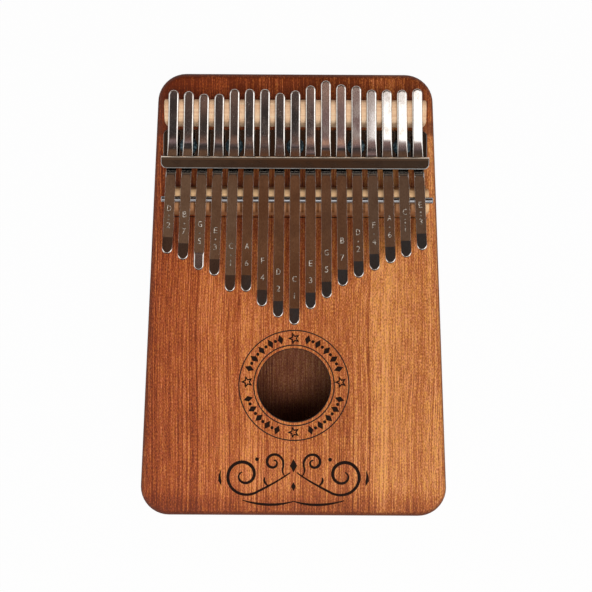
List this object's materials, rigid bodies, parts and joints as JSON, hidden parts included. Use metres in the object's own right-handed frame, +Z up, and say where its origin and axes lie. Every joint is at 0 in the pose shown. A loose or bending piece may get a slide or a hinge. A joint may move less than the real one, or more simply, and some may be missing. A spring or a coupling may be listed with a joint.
{
  "type": "mbira",
  "caption": "Box thumb piano: tapered hollow wooden body with a sound hole, and spring-steel tines clamped by a slotted bracket between wooden bridges.",
  "frame": {"origin": "middle of the back plate's outer face, which the instrument rests on", "axes": "+X across the tines to the player's right, +Y from the player's end to the far end, +Z up out of the soundboard"},
  "size_m": [0.1296, 0.187, 0.0456],
  "materials": {
    "mahogany": "satin varnish",
    "maple": "satin",
    "tine_steel": "polished",
    "bracket_steel": "polished",
    "rod_steel": "drawn",
    "screw_steel": "black zinc"
  },
  "bodies": {
    "body": {"soundboard": "mahogany", "side_frame": "mahogany", "back_plate": "mahogany", "screw_block": "maple", "rear_bridge": "maple", "front_bridge": "maple", "bridge_rod": "rod_steel", "tine_bracket": "bracket_steel", "bracket_screws": "screw_steel"},
    "tine_01": {"tine_01_shank": "tine_steel"},
    "tongue_01": {"tine_01_tongue": "tine_steel"},
    "tine_02": {"tine_02_shank": "tine_steel"},
    "tongue_02": {"tine_02_tongue": "tine_steel"},
    "tine_03": {"tine_03_shank": "tine_steel"},
    "tongue_03": {"tine_03_tongue": "tine_steel"},
    "tine_04": {"tine_04_shank": "tine_steel"},
    "tongue_04": {"tine_04_tongue": "tine_steel"},
    "tine_05": {"tine_05_shank": "tine_steel"},
    "tongue_05": {"tine_05_tongue": "tine_steel"},
    "tine_06": {"tine_06_shank": "tine_steel"},
    "tongue_06": {"tine_06_tongue": "tine_steel"},
    "tine_07": {"tine_07_shank": "tine_steel"},
    "tongue_07": {"tine_07_tongue": "tine_steel"},
    "tine_08": {"tine_08_shank": "tine_steel"},
    "tongue_08": {"tine_08_tongue": "tine_steel"},
    "tine_09": {"tine_09_shank": "tine_steel"},
    "tongue_09": {"tine_09_tongue": "tine_steel"},
    "tine_10": {"tine_10_shank": "tine_steel"},
    "tongue_10": {"tine_10_tongue": "tine_steel"},
    "tine_11": {"tine_11_shank": "tine_steel"},
    "tongue_11": {"tine_11_tongue": "tine_steel"},
    "tine_12": {"tine_12_shank": "tine_steel"},
    "tongue_12": {"tine_12_tongue": "tine_steel"},
    "tine_13": {"tine_13_shank": "tine_steel"},
    "tongue_13": {"tine_13_tongue": "tine_steel"},
    "tine_14": {"tine_14_shank": "tine_steel"},
    "tongue_14": {"tine_14_tongue": "tine_steel"},
    "tine_15": {"tine_15_shank": "tine_steel"},
    "tongue_15": {"tine_15_tongue": "tine_steel"},
    "tine_16": {"tine_16_shank": "tine_steel"},
    "tongue_16": {"tine_16_tongue": "tine_steel"},
    "tine_17": {"tine_17_shank": "tine_steel"},
    "tongue_17": {"tine_17_tongue": "tine_steel"}
  },
  "joints": [
    {"name": "tine_01_tune", "type": "slide", "parent": "body", "child": "tine_01", "axis": [0.0355, 0.9994, 0], "range_m": [-0.0015, 0.0015]},
    {"name": "tine_01_pluck", "type": "hinge", "parent": "tine_01", "child": "tongue_01", "pos_m": [-0.05181, 0.0395, 0.0392], "axis": [1, 0, 0], "range_deg": [-2.5, 3], "stiffness_Nm_per_rad": 9.13},
    {"name": "tine_02_tune", "type": "slide", "parent": "body", "child": "tine_02", "axis": [0.0311, 0.9995, 0], "range_m": [-0.0015, 0.0015]},
    {"name": "tine_02_pluck", "type": "hinge", "parent": "tine_02", "child": "tongue_02", "pos_m": [-0.04534, 0.0395, 0.0392], "axis": [1, 0, 0], "range_deg": [-2.5, 3], "stiffness_Nm_per_rad": 8.24},
    {"name": "tine_03_tune", "type": "slide", "parent": "body", "child": "tine_03", "axis": [0.0267, 0.9996, 0], "range_m": [-0.0015, 0.0015]},
    {"name": "tine_03_pluck", "type": "hinge", "parent": "tine_03", "child": "tongue_03", "pos_m": [-0.03886, 0.0395, 0.0392], "axis": [1, 0, 0], "range_deg": [-2.5, 3], "stiffness_Nm_per_rad": 7.12},
    {"name": "tine_04_tune", "type": "slide", "parent": "body", "child": "tine_04", "axis": [0.0222, 0.9998, 0], "range_m": [-0.0015, 0.0015]},
    {"name": "tine_04_pluck", "type": "hinge", "parent": "tine_04", "child": "tongue_04", "pos_m": [-0.03238, 0.0395, 0.0392], "axis": [1, 0, 0], "range_deg": [-2.5, 3], "stiffness_Nm_per_rad": 6.56},
    {"name": "tine_05_tune", "type": "slide", "parent": "body", "child": "tine_05", "axis": [0.0178, 0.9998, 0], "range_m": [-0.0015, 0.0015]},
    {"name": "tine_05_pluck", "type": "hinge", "parent": "tine_05", "child": "tongue_05", "pos_m": [-0.02591, 0.0395, 0.0392], "axis": [1, 0, 0], "range_deg": [-2.5, 3], "stiffness_Nm_per_rad": 5.45},
    {"name": "tine_06_tune", "type": "slide", "parent": "body", "child": "tine_06", "axis": [0.0133, 0.9999, 0], "range_m": [-0.0015, 0.0015]},
    {"name": "tine_06_pluck", "type": "hinge", "parent": "tine_06", "child": "tongue_06", "pos_m": [-0.01943, 0.0395, 0.0392], "axis": [1, 0, 0], "range_deg": [-2.5, 3], "stiffness_Nm_per_rad": 5.45},
    {"name": "tine_07_tune", "type": "slide", "parent": "body", "child": "tine_07", "axis": [0.0089, 1, 0], "range_m": [-0.0015, 0.0015]},
    {"name": "tine_07_pluck", "type": "hinge", "parent": "tine_07", "child": "tongue_07", "pos_m": [-0.01295, 0.0395, 0.0392], "axis": [1, 0, 0], "range_deg": [-2.5, 3], "stiffness_Nm_per_rad": 4.72},
    {"name": "tine_08_tune", "type": "slide", "parent": "body", "child": "tine_08", "axis": [0.0044, 1, 0], "range_m": [-0.0015, 0.0015]},
    {"name": "tine_08_pluck", "type": "hinge", "parent": "tine_08", "child": "tongue_08", "pos_m": [-0.00648, 0.0395, 0.0392], "axis": [1, 0, 0], "range_deg": [-2.5, 3], "stiffness_Nm_per_rad": 4.29},
    {"name": "tine_09_tune", "type": "slide", "parent": "body", "child": "tine_09", "axis": [0, 1, 0], "range_m": [-0.0015, 0.0015]},
    {"name": "tine_09_pluck", "type": "hinge", "parent": "tine_09", "child": "tongue_09", "pos_m": [0, 0.0395, 0.0392], "axis": [1, 0, 0], "range_deg": [-2.5, 3], "stiffness_Nm_per_rad": 4.04},
    {"name": "tine_10_tune", "type": "slide", "parent": "body", "child": "tine_10", "axis": [-0.0044, 1, 0], "range_m": [-0.0015, 0.0015]},
    {"name": "tine_10_pluck", "type": "hinge", "parent": "tine_10", "child": "tongue_10", "pos_m": [0.00648, 0.0395, 0.0392], "axis": [1, 0, 0], "range_deg": [-2.5, 3], "stiffness_Nm_per_rad": 4.62},
    {"name": "tine_11_tune", "type": "slide", "parent": "body", "child": "tine_11", "axis": [-0.0089, 1, 0], "range_m": [-0.0015, 0.0015]},
    {"name": "tine_11_pluck", "type": "hinge", "parent": "tine_11", "child": "tongue_11", "pos_m": [0.01295, 0.0395, 0.0392], "axis": [1, 0, 0], "range_deg": [-2.5, 3], "stiffness_Nm_per_rad": 5.12},
    {"name": "tine_12_tune", "type": "slide", "parent": "body", "child": "tine_12", "axis": [-0.0133, 0.9999, 0], "range_m": [-0.0015, 0.0015]},
    {"name": "tine_12_pluck", "type": "hinge", "parent": "tine_12", "child": "tongue_12", "pos_m": [0.01943, 0.0395, 0.0392], "axis": [1, 0, 0], "range_deg": [-2.5, 3], "stiffness_Nm_per_rad": 5.83},
    {"name": "tine_13_tune", "type": "slide", "parent": "body", "child": "tine_13", "axis": [-0.0178, 0.9998, 0], "range_m": [-0.0015, 0.0015]},
    {"name": "tine_13_pluck", "type": "hinge", "parent": "tine_13", "child": "tongue_13", "pos_m": [0.02591, 0.0395, 0.0392], "axis": [1, 0, 0], "range_deg": [-2.5, 3], "stiffness_Nm_per_rad": 6.46},
    {"name": "tine_14_tune", "type": "slide", "parent": "body", "child": "tine_14", "axis": [-0.0222, 0.9998, 0], "range_m": [-0.0015, 0.0015]},
    {"name": "tine_14_pluck", "type": "hinge", "parent": "tine_14", "child": "tongue_14", "pos_m": [0.03238, 0.0395, 0.0392], "axis": [1, 0, 0], "range_deg": [-2.5, 3], "stiffness_Nm_per_rad": 7.12},
    {"name": "tine_15_tune", "type": "slide", "parent": "body", "child": "tine_15", "axis": [-0.0267, 0.9996, 0], "range_m": [-0.0015, 0.0015]},
    {"name": "tine_15_pluck", "type": "hinge", "parent": "tine_15", "child": "tongue_15", "pos_m": [0.03886, 0.0395, 0.0392], "axis": [1, 0, 0], "range_deg": [-2.5, 3], "stiffness_Nm_per_rad": 7.92},
    {"name": "tine_16_tune", "type": "slide", "parent": "body", "child": "tine_16", "axis": [-0.0311, 0.9995, 0], "range_m": [-0.0015, 0.0015]},
    {"name": "tine_16_pluck", "type": "hinge", "parent": "tine_16", "child": "tongue_16", "pos_m": [0.04534, 0.0395, 0.0392], "axis": [1, 0, 0], "range_deg": [-2.5, 3], "stiffness_Nm_per_rad": 8.75},
    {"name": "tine_17_tune", "type": "slide", "parent": "body", "child": "tine_17", "axis": [-0.0355, 0.9994, 0], "range_m": [-0.0015, 0.0015]},
    {"name": "tine_17_pluck", "type": "hinge", "parent": "tine_17", "child": "tongue_17", "pos_m": [0.05181, 0.0395, 0.0392], "axis": [1, 0, 0], "range_deg": [-2.5, 3], "stiffness_Nm_per_rad": 10}
  ]
}
